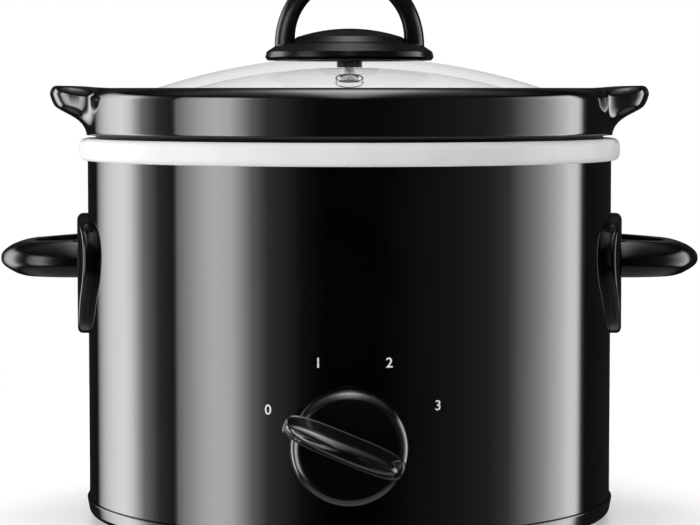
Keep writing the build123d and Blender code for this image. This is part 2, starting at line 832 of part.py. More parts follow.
# Push-on sleeves over the switch blades, one at the end of each wire
sleeve_end = blade_end - 7
with BuildPart() as blade_sleeves:
    with BuildSketch(Plane.XZ.offset(sleeve_end)):
        with Locations(*blade_places):
            RectangleRounded(7.8, 3.2, 1.0)
    extrude(amount=blade_end + 5 - sleeve_end)
    with BuildSketch(Plane.XZ.offset(blade_end - 0.5)):
        with Locations(*blade_places):
            Rectangle(6.3 + 2 * fit, 0.8 + 2 * fit)
    extrude(amount=8, mode=Mode.SUBTRACT)
keep(blade_sleeves, "blade_sleeves")

# Thermal fuse: a capsule under the liner, in line with the live wire
fuse_x = -42.0
fuse_middle = 10.0
fuse_radius = 2.0
fuse_axis_height = liner_bottom - fuse_radius - 0.6
fuse_half = 11.0
with BuildPart() as thermal_fuse:
    with BuildSketch(Plane.XZ.offset(-fuse_middle - 5.5)):
        with Locations((fuse_x, fuse_axis_height)):
            Circle(fuse_radius)
    extrude(amount=11)
    fillet(thermal_fuse.edges().filter_by(GeomType.CIRCLE), radius=0.6)
    with BuildSketch(Plane.XZ.offset(-fuse_middle - fuse_half)):
        with Locations((fuse_x, fuse_axis_height)):
            Circle(0.6)
    extrude(amount=2 * fuse_half)
keep(thermal_fuse, "thermal_fuse")

# Fuse saddle: a thin strap welded to the liner's floor that carries the fuse
with BuildPart() as fuse_saddle:
    with BuildSketch(Plane.XZ.offset(-fuse_middle - 3)):
        with BuildLine():
            FilletPolyline(
                (fuse_x - 7.5, liner_bottom),
                (fuse_x - fuse_radius - fit, liner_bottom),
                (fuse_x - fuse_radius - fit, fuse_axis_height - fuse_radius - fit),
                (fuse_x + fuse_radius + fit, fuse_axis_height - fuse_radius - fit),
                (fuse_x + fuse_radius + fit, liner_bottom),
                (fuse_x + 7.5, liner_bottom),
                radius=(0, 1.95, 1.95, 0),
            )
            offset(amount=0.6, side=Side.RIGHT)
        make_face()
    extrude(amount=6)
keep(fuse_saddle, "fuse_saddle")

# Terminal block: a three-way moulding on the tray's floor where the mains conductors would end
block_height = 14.0
with BuildPart() as terminal_block:
    with BuildSketch(Plane.XY.offset(floor_top)):
        with Locations((0, block_middle)):
            RectangleRounded(30, block_depth, 1.5)
    extrude(amount=block_height)
    with BuildSketch(Plane.XZ.offset(-block_middle - block_depth)):
        with Locations(*[(pole, pole_height) for pole in block_poles]):
            Circle(wire_radius + fit)
    extrude(amount=2 * block_depth, mode=Mode.SUBTRACT)
    with BuildSketch(Plane.XY.offset(pole_height)):
        with Locations(*[(pole, block_middle - 5) for pole in block_poles]):
            Circle(terminal_screw_radius)
        with Locations(*[(pole, block_middle + 5) for pole in block_poles]):
            Circle(terminal_screw_radius)
    extrude(amount=block_height, mode=Mode.SUBTRACT)
    with BuildSketch(Plane.XY.offset(floor_top)):
        with Locations((block_screw_x, block_middle), (-block_screw_x, block_middle)):
            Circle(block_screw_radius + slack)
    extrude(amount=block_height, mode=Mode.SUBTRACT)
keep(terminal_block, "terminal_block")

with BuildPart() as terminal_screws:
    with BuildSketch(Plane.XY.offset(pole_height + wire_radius + fit)):
        with Locations(*[(pole, block_middle - 5) for pole in block_poles]):
            Circle(terminal_screw_radius - fit)
        with Locations(*[(pole, block_middle + 5) for pole in block_poles]):
            Circle(terminal_screw_radius - fit)
    extrude(amount=4.5)
keep(terminal_screws, "terminal_screws")

with BuildPart() as block_screws:
    with BuildSketch(Plane.XY.offset(tray_bottom + 0.2)):
        with Locations((block_screw_x, block_middle), (-block_screw_x, block_middle)):
            Circle(block_screw_radius - fit)
    extrude(amount=floor_top + block_height - tray_bottom - 0.2)
    with BuildSketch(Plane.XY.offset(floor_top + block_height)):
        with Locations((block_screw_x, block_middle), (-block_screw_x, block_middle)):
            Circle(2 * block_screw_radius)
    extrude(amount=1.6)
keep(block_screws, "block_screws")

# Cord gland: a snap-in bush in the back of the shell with an open bore
with BuildPart() as cord_gland:
    with BuildSketch(Plane((0, 0, gland_height), x_dir=(0, 1, 0), z_dir=(1, 0, 0))):
        with BuildLine():
            FilletPolyline(
                (body_radius - 4.5, gland_bore_radius),
                (body_radius - 4.5, gland_neck_radius + slack),
                (body_radius - 2.2, gland_neck_radius + 1),
                (body_radius - 1.4, gland_neck_radius),
                (body_radius + 0.1, gland_neck_radius),
                (body_radius + 0.1, 8.0),
                (body_radius + 3.0, 7.2),
                (body_radius + 3.6, gland_bore_radius),
                (body_radius - 4.5, gland_bore_radius),
                radius=(0, 0, 0, 0, 0, 0, 1.4, 0),
                close=True,
            )
        make_face()
    revolve(axis=Axis((0, 0, gland_height), (0, 1, 0)))
keep(cord_gland, "cord_gland")


def bend_radii(points):
    """The widest arc that each corner of a route has room for."""
    stops = [Vector(*point) for point in points]
    radii = []
    for before, corner, after in zip(stops, stops[1:], stops[2:]):
        turn = radians((corner - before).get_angle(after - corner))
        shorter = min((corner - before).length, (after - corner).length)
        radii.append(0.45 * shorter / tan(turn / 2))
    return radii


# Internal wires: insulated leads along their routes under the liner
pole_stop = block_front + 4
sleeve_stop = -sleeve_end
tab_ring = heater_inner + 1.0
tab_spots = [(tab_ring * cos(radians(a)), tab_ring * sin(radians(a))) for a in lead_tab_angles]
wire_routes = {
    "fuse_feed_wire": (
        (block_poles[0], pole_stop, pole_height),
        (block_poles[0], 47, pole_height),
        (-20, 42, 22),
        (-33, 41, 34),
        (fuse_x, 36, fuse_axis_height),
        (fuse_x, fuse_middle + fuse_half, fuse_axis_height),
    ),
    "switch_feed_wire": (
        (fuse_x, fuse_middle - fuse_half, fuse_axis_height),
        (fuse_x, -13, fuse_axis_height),
        (-35, -29, 39),
        (-22, -43, 33),
        (blade_places[0][0], sleeve_stop + 12, blade_places[0][1]),
        (blade_places[0][0], sleeve_stop, blade_places[0][1]),
    ),
    "high_heat_wire": (
        (blade_places[1][0], sleeve_stop, blade_places[1][1]),
        (blade_places[1][0], sleeve_stop + 12, blade_places[1][1]),
        (20, -45, 34),
        (38, -41, 34),
        (56, -41, 38),
        (tab_spots[1][0], tab_spots[1][1], tab_bottom - 12),
        (tab_spots[1][0], tab_spots[1][1], tab_bottom),
    ),
    "low_heat_wire": (
        (blade_places[2][0], sleeve_stop, blade_places[2][1]),
        (blade_places[2][0], sleeve_stop + 11, blade_places[2][1]),
        (-14, -46, 44),
        (-32, -41, 41),
        (-54, -40, 40),
        (tab_spots[2][0], tab_spots[2][1], tab_bottom - 12),
        (tab_spots[2][0], tab_spots[2][1], tab_bottom),
    ),
    "neutral_wire": (
        (block_poles[2], pole_stop, pole_height),
        (block_poles[2], 47, pole_height),
        (20, 40, 19),
        (36, 42, 27),
        (50, 54, 36),
        (tab_spots[0][0], tab_spots[0][1], tab_bottom - 12),
        (tab_spots[0][0], tab_spots[0][1], tab_bottom),
    ),
    "earth_wire": (
        (block_poles[1], pole_stop, pole_height),
        (block_poles[1], 47, pole_height),
        (0.8, 40, 26),
        (0, 30, bracket_web + 0.6),
        (0, bracket_width / 2 + 8, bracket_web + 0.6),
    ),
}
for wire_name, route in wire_routes.items():
    radii = bend_radii(route)
    print(wire_name, "bend radii", [round(r, 1) for r in radii])
    with BuildPart() as wire:
        with BuildLine() as wire_path:
            FilletPolyline(*route, radius=radii)
        with BuildSketch(Plane(wire_path.line @ 0, z_dir=wire_path.line % 0)):
            Circle(wire_radius)
        sweep()
    keep(wire, wire_name)
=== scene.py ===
import bpy
import json
from bisect import bisect
from math import acos, atan2, ceil, copysign, cos, hypot, pi, radians, sin, tan
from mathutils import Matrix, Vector


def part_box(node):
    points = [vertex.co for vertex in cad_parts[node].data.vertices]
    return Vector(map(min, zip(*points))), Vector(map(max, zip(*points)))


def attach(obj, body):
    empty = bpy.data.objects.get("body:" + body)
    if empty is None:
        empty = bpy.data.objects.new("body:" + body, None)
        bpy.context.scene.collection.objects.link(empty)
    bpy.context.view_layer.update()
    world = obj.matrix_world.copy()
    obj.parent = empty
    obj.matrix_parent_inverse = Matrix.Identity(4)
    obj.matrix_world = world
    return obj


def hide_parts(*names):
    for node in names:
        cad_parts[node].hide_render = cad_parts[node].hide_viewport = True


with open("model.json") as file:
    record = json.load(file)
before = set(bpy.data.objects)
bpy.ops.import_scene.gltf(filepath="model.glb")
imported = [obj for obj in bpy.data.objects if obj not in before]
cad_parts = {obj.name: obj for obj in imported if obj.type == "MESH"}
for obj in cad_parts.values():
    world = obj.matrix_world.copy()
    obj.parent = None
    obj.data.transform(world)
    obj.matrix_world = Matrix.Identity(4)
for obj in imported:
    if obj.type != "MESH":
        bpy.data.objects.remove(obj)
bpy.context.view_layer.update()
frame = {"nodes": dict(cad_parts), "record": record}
nodes = frame["nodes"]
mm = 0.001
weldGap = 0.002 * mm
noiseSpan = (0.3, 0.7)
print("frame loaded:", len(nodes), "nodes")


# Small helpers for the materials' node trees

def newMaterial(name):
    material = bpy.data.materials.new(name)
    material.use_nodes = True
    tree = material.node_tree
    return material, tree, tree.nodes["Principled BSDF"]


def addNode(tree, kind, **settings):
    node = tree.nodes.new(kind)
    for key, value in settings.items():
        setattr(node, key, value)
    return node


def noiseOf(tree, scale, detail=3.0, stretch=(1, 1, 1)):
    place = addNode(tree, "ShaderNodeTexCoord")
    turn = addNode(tree, "ShaderNodeMapping")
    turn.inputs["Scale"].default_value = stretch
    noise = addNode(tree, "ShaderNodeTexNoise")
    noise.inputs["Scale"].default_value = scale
    noise.inputs["Detail"].default_value = detail
    tree.links.new(place.outputs["Object"], turn.inputs["Vector"])
    tree.links.new(turn.outputs["Vector"], noise.inputs["Vector"])
    return noise


def tint(tree, source, low, high, target):
    ramp = addNode(tree, "ShaderNodeValToRGB")
    for element, place, colour in zip(ramp.color_ramp.elements, noiseSpan, (low, high)):
        element.position = place
        element.color = (*colour, 1)
    tree.links.new(source, ramp.inputs["Fac"])
    tree.links.new(ramp.outputs["Color"], target)


def spread(tree, source, low, high, target):
    reach = addNode(tree, "ShaderNodeMapRange")
    reach.inputs["From Min"].default_value = noiseSpan[0]
    reach.inputs["From Max"].default_value = noiseSpan[1]
    reach.inputs["To Min"].default_value = low
    reach.inputs["To Max"].default_value = high
    tree.links.new(source, reach.inputs["Value"])
    tree.links.new(reach.outputs["Result"], target)


def relief(tree, source, strength, depth, shader):
    bump = addNode(tree, "ShaderNodeBump")
    bump.inputs["Strength"].default_value = strength
    bump.inputs["Distance"].default_value = depth
    tree.links.new(source, bump.inputs["Height"])
    tree.links.new(bump.outputs["Normal"], shader.inputs["Normal"])


def mottled(name, dark, light, rough, cloud, grain, texture, stretch=(1, 1, 1), **constants):
    # a surface with slow clouds of tone, a finer change of gloss and a shallow relief: its strength and depth
    material, tree, shader = newMaterial(name)
    clouds = noiseOf(tree, cloud, stretch=stretch)
    grains = noiseOf(tree, grain, stretch=stretch)
    tint(tree, clouds.outputs["Fac"], dark, light, shader.inputs["Base Color"])
    spread(tree, grains.outputs["Fac"], rough[0], rough[1], shader.inputs["Roughness"])
    relief(tree, grains.outputs["Fac"], texture[0], texture[1], shader)
    for socket, value in constants.items():
        shader.inputs[socket.replace("_", " ")].default_value = value
    return material


# Finishes: one for each slot of the record, and a few for single pieces

def shellEnamel():
    return mottled("shell_enamel", (0.0008, 0.0008, 0.0009), (0.0014, 0.0014, 0.0015), (0.03, 0.05),
                   40, 900, (0.02, 0.00002))


def collarPlastic():
    return mottled("collar_plastic", (0.80, 0.80, 0.80), (0.86, 0.86, 0.855), (0.38, 0.48),
                   60, 1500, (0.03, 0.00002), Specular_IOR_Level=0.25)


def glossBlack(name, shine=0.5, rough=(0.07, 0.12)):
    return mottled(name, (0.0015, 0.0015, 0.0016), (0.003, 0.003, 0.0032), rough,
                   50, 1300, (0.03, 0.00002), Specular_IOR_Level=shine)


def lidPlastic():
    return mottled("lid_plastic", (0.003, 0.003, 0.003), (0.006, 0.006, 0.006), (0.13, 0.2),
                   60, 2200, (0.05, 0.00003), Specular_IOR_Level=0.14)


def crockGlaze():
    return mottled("crock_glaze", (0.0018, 0.0018, 0.0018), (0.0032, 0.0031, 0.003), (0.03, 0.06),
                   35, 300, (0.03, 0.00005))


def lidGlass():
    material, tree, shader = newMaterial("lid_glass")
    waves = noiseOf(tree, 18)
    spread(tree, waves.outputs["Fac"], 0.0, 0.01, shader.inputs["Roughness"])
    # painted shade: the glass's colour is darkened where it is seen edge-on, along its wall and round the vent,
    # standing in for its grazing reflections
    slant = addNode(tree, "ShaderNodeLayerWeight")
    paintedEdgeShade = addNode(tree, "ShaderNodeValToRGB")
    hue = (0.995, 1, 0.997)
    stops = ((0.7, 0.985), (0.86, 0.94), (0.95, 0.82), (1, 0.5))
    while len(paintedEdgeShade.color_ramp.elements) < len(stops):
        paintedEdgeShade.color_ramp.elements.new(0.5)
    for element, (place, level) in zip(paintedEdgeShade.color_ramp.elements, stops):
        element.position = place
        element.color = (*(level * share for share in hue), 1)
    tree.links.new(slant.outputs["Facing"], paintedEdgeShade.inputs["Fac"])
    tree.links.new(paintedEdgeShade.outputs["Color"], shader.inputs["Base Color"])
    shader.inputs["Transmission Weight"].default_value = 1.0
    shader.inputs["IOR"].default_value = 1.0
    shader.inputs["Coat Weight"].default_value = 0.2
    shader.inputs["Coat IOR"].default_value = 1.5
    shader.inputs["Coat Roughness"].default_value = 0.06
    return material


def clearSilicone():
    material, tree, shader = newMaterial("clear_silicone")
    waves = noiseOf(tree, 60)
    spread(tree, waves.outputs["Fac"], 0.08, 0.16, shader.inputs["Roughness"])
    tint(tree, waves.outputs["Fac"], (0.9, 0.9, 0.89), (0.95, 0.95, 0.94), shader.inputs["Base Color"])
    shader.inputs["Transmission Weight"].default_value = 1.0
    shader.inputs["IOR"].default_value = 1.02
    return material


def polishedEdge():
    material, tree, shader = newMaterial("vent_edge")
    waves = noiseOf(tree, 30)
    spread(tree, waves.outputs["Fac"], 0.0, 0.03, shader.inputs["Roughness"])
    tint(tree, waves.outputs["Fac"], (0.95, 0.96, 0.955), (0.98, 0.985, 0.98), shader.inputs["Base Color"])
    shader.inputs["Transmission Weight"].default_value = 1.0
    shader.inputs["IOR"].default_value = 1.045
    return material


def bareMetal(name, dark, light, stretch=(1, 1, 1)):
    return mottled(name, dark, light, (0.25, 0.42), 80, 700, (0.1, 0.00003), stretch, Metallic=1.0)


def softBlack(name):
    return mottled(name, (0.018, 0.018, 0.018), (0.03, 0.03, 0.03), (0.6, 0.75), 60, 1800, (0.15, 0.00005))


def softGrey(name):
    return mottled(name, (0.5, 0.5, 0.49), (0.58, 0.58, 0.57), (0.5, 0.65), 60, 1800, (0.1, 0.00004))


def mouldedPlastic(name, dark, light):
    return mottled(name, dark, light, (0.45, 0.6), 90, 1600, (0.1, 0.00003))


def earthSleeve():
    material, tree, shader = newMaterial("earth_insulation")
    place = addNode(tree, "ShaderNodeTexCoord")
    bands = addNode(tree, "ShaderNodeTexWave", bands_direction="X")
    bands.inputs["Scale"].default_value = 260
    bands.inputs["Distortion"].default_value = 0.4
    tree.links.new(place.outputs["Object"], bands.inputs["Vector"])
    tint(tree, bands.outputs["Fac"], (0.05, 0.3, 0.06), (0.75, 0.6, 0.05), shader.inputs["Base Color"])
    shader.inputs["Roughness"].default_value = 0.45
    return material


finishes = {
    "shell_enamel": shellEnamel(),
    "collar_plastic": collarPlastic(),
    "liner_metal": bareMetal("liner_metal", (0.5, 0.5, 0.5), (0.62, 0.62, 0.62), (1, 1, 12)),
    "heater_metal": bareMetal("heater_metal", (0.3, 0.3, 0.3), (0.42, 0.41, 0.4)),
    "plated_steel": bareMetal("plated_steel", (0.5, 0.5, 0.48), (0.66, 0.66, 0.63)),
    "base_plastic": glossBlack("base_plastic"),
    "foot_rubber": softBlack("foot_rubber"),
    "handle_plastic": glossBlack("handle_plastic", shine=0.2, rough=(0.11, 0.16)),
    "switch_plastic": mouldedPlastic("switch_plastic", (0.7, 0.68, 0.6), (0.78, 0.76, 0.69)),
    "brass_contacts": bareMetal("brass_contacts", (0.62, 0.45, 0.18), (0.8, 0.62, 0.3)),
    "sleeve_plastic": mouldedPlastic("sleeve_plastic", (0.76, 0.76, 0.74), (0.84, 0.84, 0.82)),
    "fuse_metal": bareMetal("fuse_metal", (0.6, 0.6, 0.6), (0.74, 0.74, 0.74)),
    "block_plastic": mouldedPlastic("block_plastic", (0.78, 0.78, 0.75), (0.88, 0.88, 0.85)),
    "gland_plastic": softBlack("gland_plastic"),
    "live_insulation": mouldedPlastic("live_insulation", (0.18, 0.08, 0.04), (0.28, 0.13, 0.07)),
    "heater_insulation": mouldedPlastic("heater_insulation", (0.7, 0.7, 0.68), (0.85, 0.85, 0.82)),
    "neutral_insulation": mouldedPlastic("neutral_insulation", (0.03, 0.1, 0.32), (0.07, 0.17, 0.45)),
    "earth_insulation": earthSleeve(),
    "crock_glaze": crockGlaze(),
    "lid_glass": lidGlass(),
    "lid_silicone": softGrey("lid_silicone"),
    "lid_plastic": lidPlastic(),
    "knob_plastic": glossBlack("knob_plastic", rough=(0.12, 0.17)),
}


def cover(piece, material):
    piece.data.materials.clear()
    piece.data.materials.append(material)


for part in frame["record"]["subparts"]:
    cover(nodes[part["node"]], finishes[part["material_slot"]])
cover(nodes["lid_washer"], clearSilicone())
cover(nodes["lid_screw"], bareMetal("lid_screw", (0.9, 0.9, 0.89), (0.97, 0.97, 0.96)))
print("finishes:", len(finishes))


# Crock: one profile is turned on the axis, then two ears are drawn out of its band

crock = {
    # corners of the turned profile: radius, height and rounding, in millimetres
    "corners": (
        (0, 53.2, 0), (81, 53.2, 14), (85.2, 141.2, 3), (87.2, 148.8, 1.6), (95, 148.8, 1.6), (95, 144.4, 0),
        (95.1, 144.4, 0), (95.5, 145.4, 0), (98.7, 145.4, 1.4), (98.7, 162.9, 4.5),
        (90.4, 162.9, 2.4), (90.4, 153.6, 1.2), (79.4, 153.6, 2.6), (75.4, 59, 15), (0, 59, 0),
    ),
    "band": 98.7,
    "rim": 162.9,
    "rimRounding": 4.5,
    "mouthEdge": 92.8,
    "foot": 145.45,
    "taperTop": 147,
    "slack": 0.01,
    "smoothAngle": radians(40),
    "arcStep": radians(9),
    "runStep": 0.4,
    "earZone": radians(21),
    "earColumns": 140,
    "plainColumns": 92,
}
ear = {
    "length": 13.75,
    "rounding": 2.6,
    "halfAngle": radians(14),
    "steepness": 16,
    "roundness": 0.2,
    "rise": 0.9,
    "riseFrom": 156,
    "filling": 1.4,
    "sweepSteps": 24,
    # underside from the band to the tip: share of the ear's length and height
    "sweep": ((0, 145.9), (0.1, 153.2), (0.85, 153.4), (1, 158.4)),
}


def roundedPath(corners, arcStep):
    points = []
    for index, (across, up, rounding) in enumerate(corners):
        corner = Vector((across, up))
        if rounding == 0:
            points.append(corner)
            continue
        before = (Vector(corners[index - 1][:2]) - corner).normalized()
        after = (Vector(corners[index + 1][:2]) - corner).normalized()
        half = before.angle(after) / 2
        middle = corner + (before + after).normalized() * rounding / sin(half)
        first = corner + before * rounding / tan(half) - middle
        last = corner + after * rounding / tan(half) - middle
        turn = pi - 2 * half
        count = max(2, ceil(turn / arcStep))
        for step in range(count + 1):
            share = step / count
            reach = first * sin((1 - share) * turn) + last * sin(share * turn)
            points.append(middle + reach / sin(turn))
    return points


def closeRows(points, runStep, inside):
    # extra points on the straight runs of the band, where the ears are drawn out
    rows = [points[0]]
    for before, after in zip(points, points[1:]):
        fine = min(before.x, after.x) > inside
        count = max(1, ceil((after - before).length / runStep)) if fine else 1
        rows += [before.lerp(after, step / count) for step in range(1, count + 1)]
    return rows


def turnedShape(name, rows, start, sweeps):
    # the profile is drawn point by point at the start angle and spun round the axis
    def placed(row):
        return Vector((row.x * cos(start), row.x * sin(start), row.y)) * mm

    bpy.ops.object.select_all(action="DESELECT")
    bpy.ops.mesh.primitive_plane_add(size=mm, location=placed(rows[0]))
    piece = bpy.context.object
    piece.name = name
    bpy.ops.object.mode_set(mode="EDIT")
    bpy.ops.mesh.merge(type="CENTER")
    for before, after in zip(rows, rows[1:]):
        bpy.ops.mesh.extrude_region_move(TRANSFORM_OT_translate={"value": placed(after) - placed(before)})
    bpy.ops.mesh.select_all(action="SELECT")
    for angle, steps in sweeps:
        bpy.ops.mesh.spin(steps=steps, angle=angle, center=(0, 0, 0), axis=(0, 0, 1))
    bpy.ops.mesh.select_all(action="SELECT")
    bpy.ops.mesh.remove_doubles(threshold=weldGap)
    bpy.ops.mesh.normals_make_consistent(inside=False)
    bpy.ops.object.mode_set(mode="OBJECT")
    bpy.ops.object.transform_apply(location=True, rotation=True, scale=True)
    return piece


def smoothStep(value):
    value = min(max(value, 0), 1)
    return value * value * (3 - 2 * value)


def earPlan(samples=840):
    # the ear's outline seen from above, as points at even distances along it
    zone = crock["earZone"]
    outline = []
    for step in range(samples + 1):
        angle = zone * (2 * step / samples - 1)
        share = abs(angle) / ear["halfAngle"]
        reach = ear["length"] * (1 - ear["roundness"] * share**2) / (1 + share ** ear["steepness"])
        outline.append(Vector((cos(angle), sin(angle))) * (crock["band"] + max(reach, 0)))
    travel = [0]
    for before, after in zip(outline, outline[1:]):
        travel.append(travel[-1] + (after - before).length)

    def at(share):
        goal = min(max(share, 0), 1) * travel[-1]
        index = min(max(bisect(travel, goal), 1), samples)
        before, after = outline[index - 1], outline[index]
        point = before.lerp(after, (goal - travel[index - 1]) / (travel[index] - travel[index - 1]))
        along = (outline[min(index + 1, samples)] - outline[max(index - 2, 0)]).normalized()
        return point, Vector((-along.y, along.x))

    return at


def sweepShare(height):
    # how far the ear reaches at this height, on its S-shaped underside
    sweep = ear["sweep"]
    if height <= sweep[0][1]:
        return 0
    if height >= sweep[3][1]:
        return 1
    low, high = 0.0, 1.0
    for _ in range(ear["sweepSteps"]):
        middle = (low + high) / 2
        rest = 1 - middle
        weights = (rest**3, 3 * middle * rest**2, 3 * middle**2 * rest, middle**3)
        if sum(weight * point[1] for weight, point in zip(weights, sweep)) < height:
            low = middle
        else:
            high = middle
    return sum(weight * point[0] for weight, point in zip(weights, sweep))


def drawEars(piece):
    plan = earPlan()
    zone, rim, slack = crock["earZone"], crock["rim"], crock["slack"]
    inner = crock["band"] - crock["rimRounding"]
    shoulder = rim - crock["rimRounding"]
    for corner in piece.data.vertices:
        x, y, z = corner.co / mm
        radius = hypot(x, y)
        side = 1 if x > 0 else -1
        angle = atan2(y, abs(x))
        if abs(angle) > zone or radius < crock["mouthEdge"] + slack or z < crock["foot"]:
            continue
        outer, inward = plan((angle + zone) / (2 * zone))
        base = Vector((cos(angle), sin(angle)))
        earness = (outer.length - crock["band"]) / ear["length"]
        inset = crock["band"] - radius
        shrink = 1 - (1 - ear["rounding"] / crock["rimRounding"]) * smoothStep(earness)
        raised = z
        lift = 1.0
        if z > shoulder - slack and radius < inner:
            lift = (radius - crock["mouthEdge"]) / (inner - crock["mouthEdge"])
            spot = (base * crock["mouthEdge"]).lerp(outer + inward * crock["rimRounding"] * shrink, lift)
        elif z > shoulder - slack:
            spot = outer + inward * inset * shrink
            raised = rim - (rim - z) * shrink
        else:
            # the rounding at the band's foot fills up under the ear
            filling = inset * smoothStep(ear["filling"] * earness) if z < crock["taperTop"] else 0
            spot = base * (radius + filling) + (outer - base * crock["band"]) * sweepShare(z)
            stretch = max(z - ear["riseFrom"], 0) / (shoulder - ear["riseFrom"])
            raised = z + crock["rimRounding"] * (1 - shrink) * stretch
        height = smoothStep((z - ear["riseFrom"]) / (rim - ear["riseFrom"]))
        raised += ear["rise"] * smoothStep(earness) * smoothStep(lift) * height
        corner.co = Vector((side * spot.x, spot.y, raised)) * mm


def makeCrock():
    zone = crock["earZone"]
    path = roundedPath(crock["corners"], crock["arcStep"])
    rows = closeRows(path, crock["runStep"], crock["mouthEdge"])
    half = ((2 * zone, crock["earColumns"]), (pi - 2 * zone, crock["plainColumns"]))
    piece = turnedShape("crock_body", rows, -zone, half + half)
    drawEars(piece)
    bpy.ops.object.shade_smooth_by_angle(angle=crock["smoothAngle"])
    cover(piece, finishes["crock_glaze"])
    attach(piece, "crock")
    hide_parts("stoneware_crock")


makeCrock()
print("crock turned, ears drawn out")


# Control knob: a turned disc with a long rounded grip that points past its edge

knob = {
    "centre": 40.7,
    "face": 107.2,
    "heading": radians(157.5),
    # corners of the turned disc: radius, distance from the cooker's axis and rounding
    "corners": (
        (0, 107.2, 0), (20, 107.2, 3.8), (20.3, 99.9, 0.4), (18.3, 99.9, 0), (18.1, 104.5, 0.8),
        (5.4, 104.5, 0.8), (5.4, 100.1, 0), (3.05, 100.1, 0), (3.05, 106, 0), (0, 106, 0),
    ),
    "smoothAngle": radians(35),
    "arcStep": radians(7),
    "columns": 120,
    "gripColumns": 144,
    "crestFall": 4.2,
    "crestBow": 45,
    "frontFlatness": 0.4,
    "crestSteps": 14,
    "wallSteps": 8,
    "flareSteps": 4,
    # grip outlines from the crest down to the disc and behind its face:
    # height, nose, tail, half width and squareness
    "crestLine": (12.8, 19.6, 14.2, 0, 2.5),
    "shoulder": (8.6, 23.1, 17.7, 3.3, 2.5),
    "root": (0.8, 23.6, 19.4, 4.6, 3.6),
    "flare": (0, 23.9, 19.9, 5.1, 3.8),
    "back": (-1.2, 23.9, 19.9, 5.1, 3.8),
}


def mouldedShape(name, columns, rings, spotAt):
    # a sphere whose rings are drawn out, one by one, to the places that spotAt gives
    bpy.ops.object.select_all(action="DESELECT")
    bpy.ops.mesh.primitive_uv_sphere_add(segments=columns, ring_count=rings, radius=1)
    piece = bpy.context.object
    piece.name = name
    for corner in piece.data.vertices:
        ring = round(acos(min(max(corner.co.z, -1), 1)) / pi * rings)
        corner.co = spotAt(ring, atan2(corner.co.y, corner.co.x)) * mm
    bpy.ops.object.mode_set(mode="EDIT")
    bpy.ops.mesh.select_all(action="SELECT")
    bpy.ops.mesh.remove_doubles(threshold=weldGap)
    bpy.ops.mesh.normals_make_consistent(inside=False)
    bpy.ops.object.mode_set(mode="OBJECT")
    return piece


def powered(value, power):
    return copysign(abs(value) ** power, value)


def gripRings():
    crestLine, shoulder = knob["crestLine"], knob["shoulder"]
    rings = [(crestLine[0], 0, 0, 0, 2)]
    for step in range(1, knob["crestSteps"] + 1):
        turn = step / knob["crestSteps"] * pi / 2
        drop = knob["crestFall"] * (1 - cos(turn))
        outline = (a + (b - a) * sin(turn) for a, b in zip(crestLine[1:], shoulder[1:]))
        rings.append((crestLine[0] - drop, *outline))
    wall = (shoulder, knob["root"], knob["wallSteps"], 1)
    flare = (knob["root"], knob["flare"], knob["flareSteps"], 2)
    for first, last, steps, power in (wall, flare):
        for step in range(1, steps + 1):
            share = step / steps
            outline = (a + (b - a) * share**power for a, b in zip(first[1:], last[1:]))
            rings.append((first[0] + (last[0] - first[0]) * share, *outline))
    rings.append(knob["back"])
    rings.append((knob["back"][0], 0, 0, 0, 2))
    return rings


def makeKnob():
    rows = roundedPath(knob["corners"], knob["arcStep"])
    disc = turnedShape("knob_body", rows, 0, ((2 * pi, knob["columns"]),))
    disc.rotation_euler.x = radians(90)
    disc.location.z = knob["centre"] * mm
    bpy.ops.object.transform_apply(location=True, rotation=True, scale=True)
    rings = gripRings()
    along = Vector((cos(knob["heading"]), 0, sin(knob["heading"])))
    across = Vector((sin(knob["heading"]), 0, -cos(knob["heading"])))

    def spotAt(ring, turn):
        out, nose, tail, width, squareness = rings[ring]
        length = nose if cos(turn) > 0 else tail
        a = length * powered(cos(turn), 2 / squareness)
        b = width * powered(sin(turn), 2 / squareness)
        fullWidth = knob["shoulder"][3]
        if b < 0 and width < fullWidth and ring <= knob["crestSteps"]:
            b *= (width / fullWidth) ** (knob["frontFlatness"] - 1)
        out -= max(out, 0) / knob["crestLine"][0] * a**2 / (2 * knob["crestBow"])
        return Vector((0, -knob["face"] - out, knob["centre"])) + along * a + across * b

    grip = mouldedShape("knob_grip", knob["gripColumns"], len(rings) - 1, spotAt)
    bpy.ops.object.select_all(action="DESELECT")
    grip.select_set(True)
    disc.select_set(True)
    bpy.context.view_layer.objects.active = disc
    bpy.ops.object.join()
    bpy.ops.object.shade_smooth_by_angle(angle=knob["smoothAngle"])
    cover(disc, finishes["knob_plastic"])
    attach(disc, "knob")
    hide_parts("control_knob")


makeKnob()
print("knob turned, grip moulded")


# Side handles: a shield pad on the shell and a rounded loop with a drawn-out nose

handle = {
    "shell": 98.35,
    "pad": 102.4,
    "padMiddle": 98,
    "padEdge": 1.6,
    # half of the pad's outline from the top down: distance from the middle and height
    "outline": (
        (0, 115.8), (16, 114.2), (29.5, 110.4), (34.3, 102.5), (32, 92.8), (25.8, 85.6), (13.8, 73.8), (0, 70.4),
    ),
    "centre": 101.5,
    "tip": 131.5,
    "thickness": 12.4,
    "legEnd": 99.6,
    "belly": 98.9,
    "top": 106.8,
    "bottom": 93.2,
    "bulge": 4.2,
    "fall": 1.0,
    "noseAbove": 13.5,
    "noseBelow": 15,
    "nosePower": 0.46,
    "noseBite": 3.4,
    "leastBlend": 1e-9,
    "columns": 72,
    "legRings": 8,
    "bendRings": 72,
    "padColumns": 128,
    "padRings": 26,
    "rollRings": 8,
    # how much the loop's section is squared: all round, and on its outer side
    "square": 1.4,
    "outerSquare": 1.42,
    "tipRoom": 0.1,
    "smoothAngle": radians(30),
}


